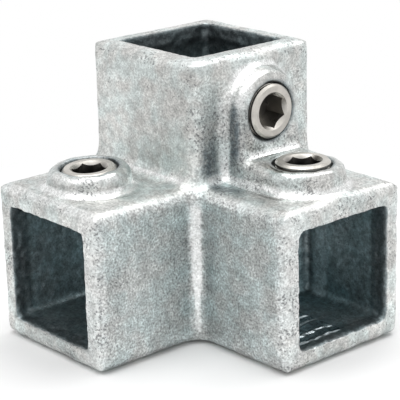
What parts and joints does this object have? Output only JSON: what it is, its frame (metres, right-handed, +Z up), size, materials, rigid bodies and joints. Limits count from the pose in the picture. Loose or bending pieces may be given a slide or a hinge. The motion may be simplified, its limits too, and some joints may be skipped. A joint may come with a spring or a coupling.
{
  "type": "square tube corner connector",
  "caption": "Corner connector for square tube: a galvanised iron casting with blind square sockets at right angles to each other, each locked by a hexagon socket set screw in a raised boss.",
  "frame": {"origin": "on the base plane, straight under the axis of the upright socket", "axes": "+Z up along the upright socket, +X along the right arm, -Y along the left arm"},
  "size_m": [0.063, 0.063, 0.063],
  "materials": {
    "galvanised_casting": "hot-dip galvanised, matt, with a fine mottle and cast grain",
    "screw_steel": "plain turned stainless steel"
  },
  "bodies": {
    "corner": {"corner_casting": "galvanised_casting"},
    "post_screw": {"post_set_screw": "screw_steel"},
    "right_screw": {"right_set_screw": "screw_steel"},
    "left_screw": {"left_set_screw": "screw_steel"}
  },
  "joints": [
    {"name": "post_screw_travel", "type": "slide", "parent": "corner", "child": "post_screw", "axis": [-1, 0, 0], "range_m": [0, 0.003]},
    {"name": "right_screw_travel", "type": "slide", "parent": "corner", "child": "right_screw", "axis": [0, 0, -1], "range_m": [0, 0.003]},
    {"name": "left_screw_travel", "type": "slide", "parent": "corner", "child": "left_screw", "axis": [0, 0, -1], "range_m": [0, 0.003]}
  ]
}
